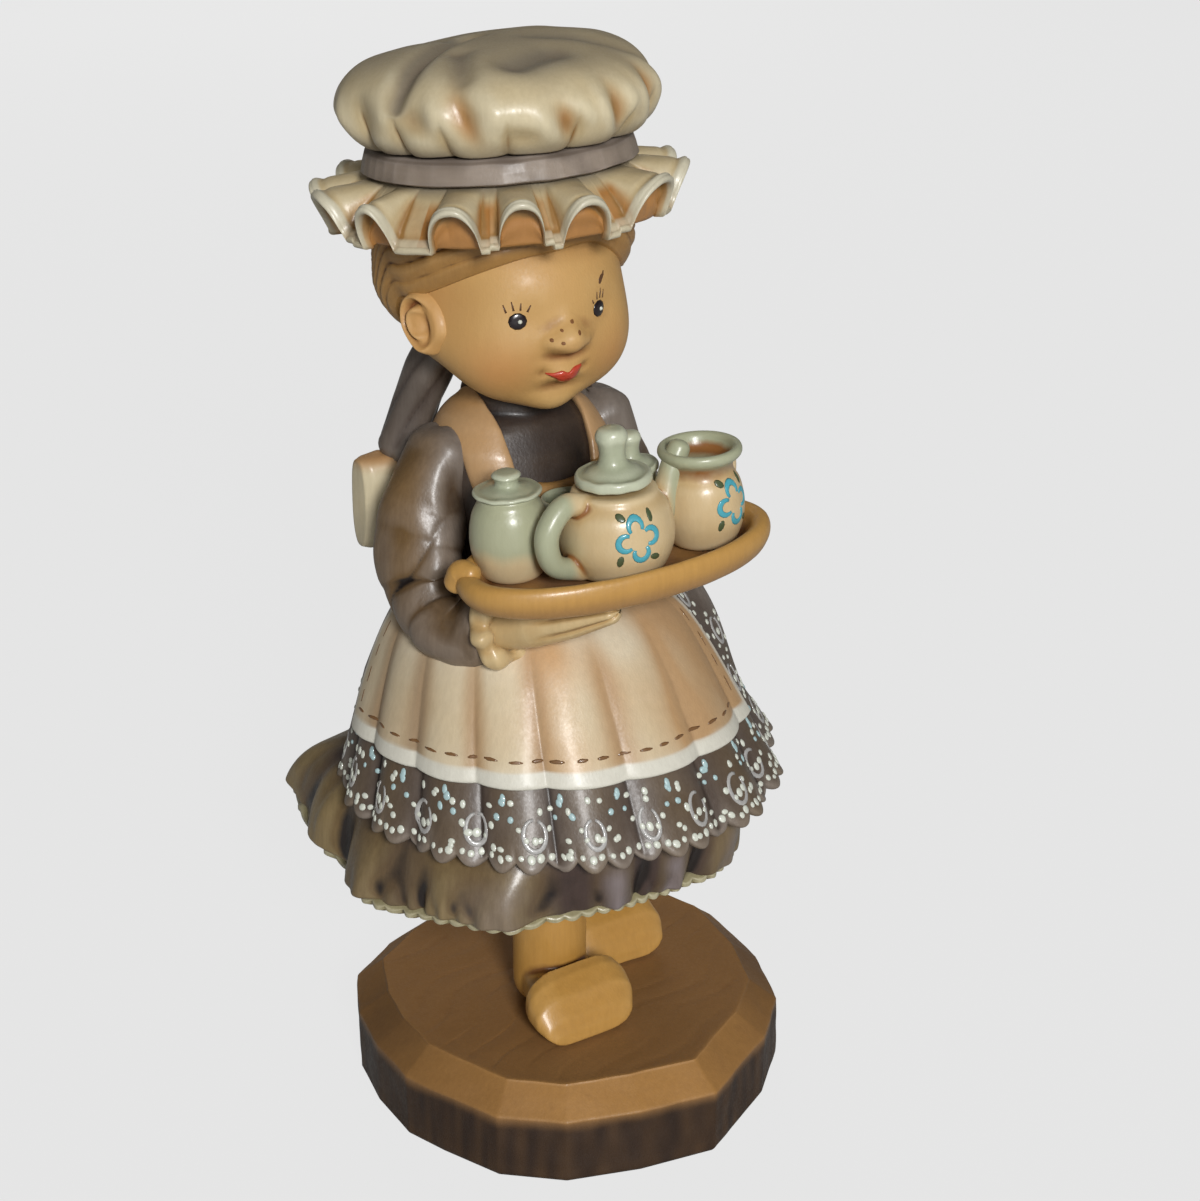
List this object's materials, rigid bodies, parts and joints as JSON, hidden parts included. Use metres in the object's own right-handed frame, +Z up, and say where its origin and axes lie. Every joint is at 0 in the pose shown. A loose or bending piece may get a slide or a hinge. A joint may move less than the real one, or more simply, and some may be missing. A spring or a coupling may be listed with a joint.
{
  "type": "carved wooden figurine",
  "caption": "Carved and painted wooden figurine of a girl in a mob cap, apron and tiered skirt, carrying a tea tray, on a chip-carved block.",
  "frame": {"origin": "centre of the base block's flat underside", "axes": "+Z up through the figure, -Y the way the figure looks, -X the side of its right hand"},
  "size_m": [0.0671, 0.0679, 0.1488],
  "materials": {
    "block_stain": "brown stain under satin lacquer",
    "honey_stain": "honey-coloured stain under satin lacquer",
    "cream_paint": "thin cream paint, wiped ochre in the folds, satin",
    "plum_paint": "plum-brown stain wiped off the ridges, satin",
    "petticoat_paint": "pale olive paint, satin",
    "skin_paint": "thin honey skin tone, satin",
    "hair_stain": "light brown stain, satin",
    "band_paint": "thin grey-mauve paint, satin",
    "pale_green_paint": "pale green paint, satin",
    "pot_paint": "peach-cream paint, satin",
    "bare_wood": "bare wood"
  },
  "bodies": {
    "root": {"base_block": "block_stain", "right_foot_dowel": "bare_wood", "left_foot_dowel": "bare_wood", "right_clog": "honey_stain", "left_clog": "honey_stain", "right_leg": "honey_stain", "left_leg": "honey_stain", "petticoat": "petticoat_paint", "dress_skirt": "plum_paint", "lace_overskirt": "plum_paint", "apron_skirt": "cream_paint", "bodice": "plum_paint", "apron_bib": "cream_paint", "bow_knot": "cream_paint", "right_strap": "cream_paint", "left_strap": "cream_paint", "right_bow_loop": "cream_paint", "left_bow_loop": "cream_paint", "right_bow_tail": "cream_paint", "left_bow_tail": "cream_paint", "right_sleeve": "plum_paint", "left_sleeve": "plum_paint", "right_cuff": "honey_stain", "left_cuff": "honey_stain", "right_hand": "skin_paint", "left_hand": "skin_paint", "right_thumb": "skin_paint", "tray": "honey_stain", "teapot": "pot_paint", "teapot_lid": "pale_green_paint", "sugar_pot": "pot_paint", "sugar_pot_lid": "pale_green_paint", "back_pot": "pot_paint", "back_pot_lid": "pale_green_paint", "cream_jug": "pot_paint", "tea_cup": "pale_green_paint", "head": "skin_paint", "hair": "hair_stain", "right_pigtail": "plum_paint", "left_pigtail": "plum_paint", "cap_ruffle": "cream_paint", "cap_band": "band_paint", "cap_crown": "cream_paint"}
  },
  "joints": []
}
